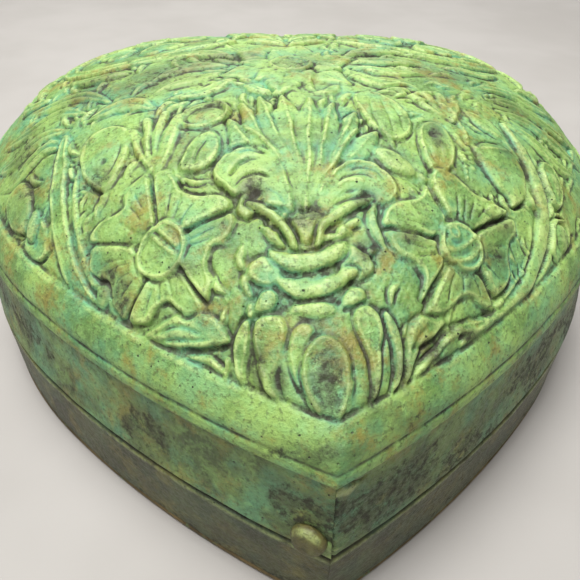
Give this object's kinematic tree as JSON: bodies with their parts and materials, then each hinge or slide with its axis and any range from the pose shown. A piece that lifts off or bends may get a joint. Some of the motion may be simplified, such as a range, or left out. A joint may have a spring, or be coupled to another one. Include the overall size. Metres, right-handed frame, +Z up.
{
  "type": "heart-shaped trinket box",
  "caption": "Heart-shaped metal trinket box with a domed, flower-embossed lid hinged at the cleft.",
  "frame": {"origin": "on the table under the middle of the closed box, hinge included", "axes": "+Z up, -Y towards the point of the heart, +Y towards the hinge, +X to the right seen from the point"},
  "size_m": [0.1218, 0.1276, 0.0516],
  "materials": {
    "base_metal": "dark olive-brown patina, satin",
    "rim_metal": "worn dull brass",
    "solder": "grey-green solder, dull",
    "lid_metal": "verdigris patina, matt with worn edges",
    "embossed_metal": "verdigris patina over relief, satin ridges",
    "boss_metal": "yellow-green patina over worn brass",
    "hinge_metal": "brown patina, worn knuckles",
    "pin_metal": "dull drawn wire"
  },
  "bodies": {
    "base": {"base_floor": "base_metal", "base_wall_right": "base_metal", "base_wall_left": "base_metal", "inner_rim_right": "rim_metal", "inner_rim_left": "rim_metal", "base_tip_solder": "solder", "base_cleft_solder": "solder", "base_hinge_leaf": "hinge_metal", "hinge_pin": "pin_metal"},
    "lid": {"lid_wall_right": "lid_metal", "lid_wall_left": "lid_metal", "lid_tip_solder": "solder", "lid_cleft_solder": "solder", "lid_dome": "embossed_metal", "thumb_boss": "boss_metal", "lid_hinge_leaf": "hinge_metal"}
  },
  "joints": [
    {"name": "lid_hinge", "type": "hinge", "parent": "base", "child": "lid", "pos_m": [0, 0.05945, 0.013], "axis": [-1, 0, 0], "range_deg": [0, 100]}
  ]
}
